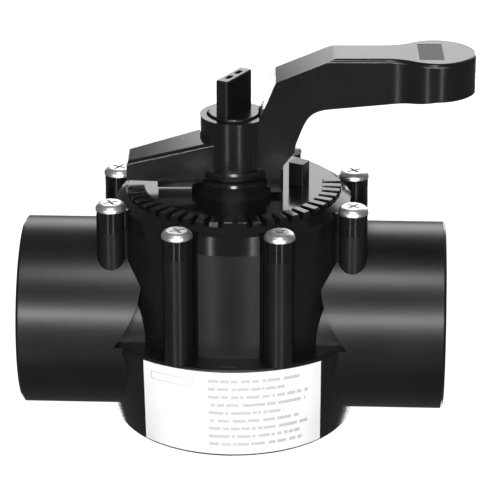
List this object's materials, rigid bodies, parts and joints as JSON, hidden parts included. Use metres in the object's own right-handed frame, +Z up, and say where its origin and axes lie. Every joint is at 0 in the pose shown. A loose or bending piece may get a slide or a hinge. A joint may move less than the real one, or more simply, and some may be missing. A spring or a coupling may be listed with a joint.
{
  "type": "two-port rotary paddle valve",
  "caption": "Black plastic two-port shut-off valve for pool pipework: socket ports, ribbed screwed cover, cranked lever on a stem that turns a sealing paddle.",
  "frame": {"origin": "where the port axis crosses the stem axis, at the mould line of the body", "axes": "+X along the ports towards the grip of the lever, +Z up the stem, the label faces -Y"},
  "size_m": [0.1737, 0.1108, 0.1476],
  "materials": {
    "housing_plastic": "moulded, semi-gloss black",
    "lever_plastic": "moulded, satin black",
    "badge_plastic": "plain inlay, fine grained",
    "bush_plastic": "turned acetal, natural",
    "seal_rubber": "moulded seal",
    "stainless": "cold-formed, bright",
    "insert_brass": "turned",
    "label_film": "printed white film"
  },
  "bodies": {
    "housing": {"body": "housing_plastic", "bottom_bush": "bush_plastic", "cover": "housing_plastic", "cover_o_ring": "seal_rubber", "cover_bush": "bush_plastic", "cover_screws": "stainless", "travel_stop": "housing_plastic", "lever_washer": "lever_plastic", "body_label": "label_film"},
    "rotor": {"stem": "housing_plastic", "stem_o_rings": "seal_rubber", "stem_insert": "insert_brass", "paddle": "housing_plastic", "paddle_seal": "seal_rubber", "paddle_pin": "stainless", "thrust_washer": "bush_plastic", "lever": "lever_plastic", "lever_badge": "badge_plastic", "knob_washer": "stainless"},
    "knob": {"lock_knob": "lever_plastic", "knob_stud": "stainless"}
  },
  "joints": [
    {"name": "lever_turn", "type": "hinge", "parent": "housing", "child": "rotor", "pos_m": [0, 0, 0.058], "axis": [0, 0, 1], "range_deg": [-90, 90]},
    {"name": "knob_turn", "type": "hinge", "parent": "rotor", "child": "knob", "pos_m": [0, 0, 0.08], "axis": [0, 0, 1], "range_deg": [0, 180]}
  ]
}
